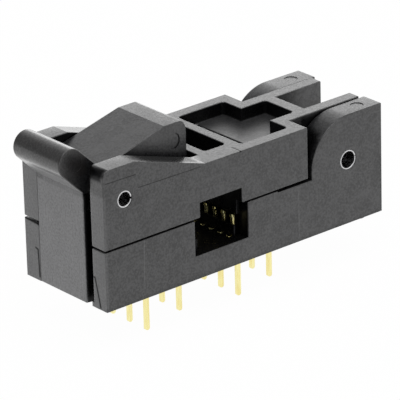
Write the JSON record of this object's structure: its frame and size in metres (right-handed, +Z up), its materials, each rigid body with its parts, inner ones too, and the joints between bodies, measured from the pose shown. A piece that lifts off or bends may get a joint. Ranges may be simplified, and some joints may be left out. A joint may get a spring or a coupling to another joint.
{
  "type": "clamshell chip test socket",
  "caption": "Black clamshell test socket with a hinged lid, a sprung rocker latch with a grip bar, gold spring contacts and staggered solder tails.",
  "frame": {"origin": "on the circuit board's upper face, under the middle of the base's length and width", "axes": "+X along the length from the latch end to the hinge end, +Y across, +Z up from the board; the solder tails reach below Z = 0"},
  "size_m": [0.0375, 0.012, 0.0201],
  "materials": {
    "base_plastic": "fine moulded grain",
    "lid_plastic": "fine moulded grain",
    "latch_plastic": "fine moulded grain",
    "pin_steel": "rolled",
    "spring_steel": "drawn wire",
    "contact_gold": "gold plated"
  },
  "bodies": {
    "base": {"base": "base_plastic", "hinge_pin": "pin_steel", "lid_spring": "spring_steel", "contact_left_1": "contact_gold", "contact_left_2": "contact_gold", "contact_left_3": "contact_gold", "contact_left_4": "contact_gold", "contact_left_5": "contact_gold", "contact_left_6": "contact_gold", "contact_left_7": "contact_gold", "contact_left_8": "contact_gold", "contact_right_1": "contact_gold", "contact_right_2": "contact_gold", "contact_right_3": "contact_gold", "contact_right_4": "contact_gold", "contact_right_5": "contact_gold", "contact_right_6": "contact_gold", "contact_right_7": "contact_gold", "contact_right_8": "contact_gold"},
    "lid": {"lid": "lid_plastic", "latch_pin": "pin_steel", "latch_spring": "spring_steel"},
    "latch": {"latch": "latch_plastic"}
  },
  "joints": [
    {"name": "lid_hinge", "type": "hinge", "parent": "base", "child": "lid", "pos_m": [0.013, 0, 0.0069], "axis": [0, 1, 0], "range_deg": [0, 95], "deforming": ["lid_spring"]},
    {"name": "latch_pivot", "type": "hinge", "parent": "lid", "child": "latch", "pos_m": [-0.01485, 0, 0.011], "axis": [0, 1, 0], "range_deg": [0, 12], "stiffness_Nm_per_rad": 0.002, "springref_deg": -20.05, "deforming": ["latch_spring"]}
  ]
}
